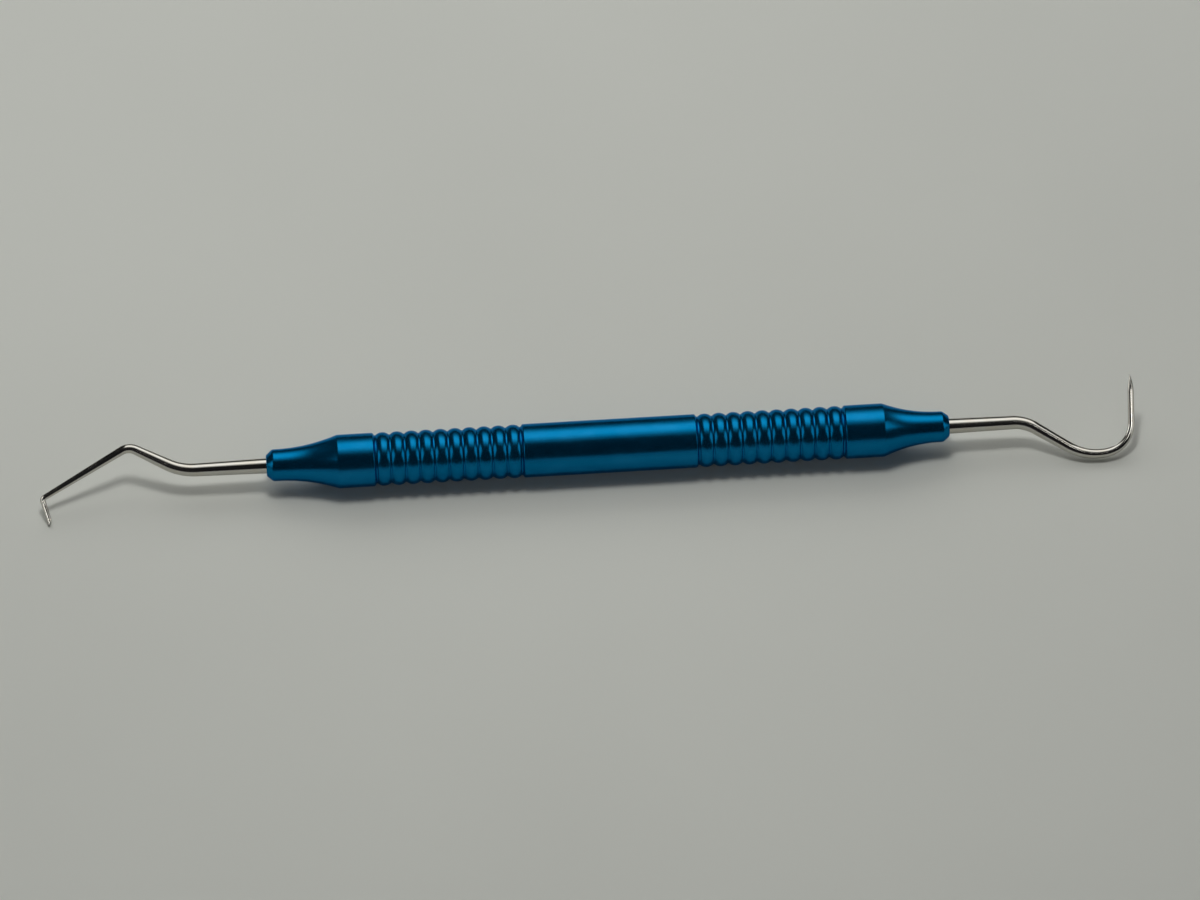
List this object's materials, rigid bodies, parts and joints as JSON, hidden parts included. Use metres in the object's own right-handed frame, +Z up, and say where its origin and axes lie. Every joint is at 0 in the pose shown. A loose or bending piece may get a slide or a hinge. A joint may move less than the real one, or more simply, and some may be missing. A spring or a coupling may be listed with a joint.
{
  "type": "hand scaler",
  "caption": "Double-ended dental hand scaler: ribbed tube handle with screw-in cones carrying an angled tip and a sickle tip in steel.",
  "frame": {"origin": "on the handle's axis, at the middle of its plain centre", "axes": "+X along the handle towards the sickle end, +Z up with the scaler lying on a surface at z = -4 mm, +Y completes the right-handed frame"},
  "size_m": [0.1643, 0.0113, 0.008],
  "materials": {
    "anodised_handle": "bright turned aluminium, anodised blue",
    "tip_steel": "polished stainless steel with fine grinding marks",
    "seal_rubber": "smooth black rubber"
  },
  "bodies": {
    "handle": {"barrel": "anodised_handle"},
    "angled_seal": {"angled_end_seal": "seal_rubber"},
    "angled_end": {"angled_end_cone": "anodised_handle", "angled_tip": "tip_steel"},
    "sickle_seal": {"sickle_end_seal": "seal_rubber"},
    "sickle_end": {"sickle_end_cone": "anodised_handle", "sickle_tip": "tip_steel"}
  },
  "joints": [
    {"name": "angled_end_draw", "type": "slide", "parent": "handle", "child": "angled_seal", "axis": [-1, 0, 0], "range_m": [0, 0.0064]},
    {"name": "angled_end_unscrew", "type": "hinge", "parent": "angled_seal", "child": "angled_end", "pos_m": [-0.03492, 0, 0], "axis": [-1, 0, 0], "range_deg": [0, 2880]},
    {"name": "sickle_end_draw", "type": "slide", "parent": "handle", "child": "sickle_seal", "axis": [1, 0, 0], "range_m": [0, 0.0064]},
    {"name": "sickle_end_unscrew", "type": "hinge", "parent": "sickle_seal", "child": "sickle_end", "pos_m": [0.03492, 0, 0], "axis": [1, 0, 0], "range_deg": [0, 2880]}
  ],
  "couplings": [
    {"joint": "angled_end_unscrew", "follows": "angled_end_draw", "rad_per_m": 7854},
    {"joint": "sickle_end_unscrew", "follows": "sickle_end_draw", "rad_per_m": 7854}
  ]
}
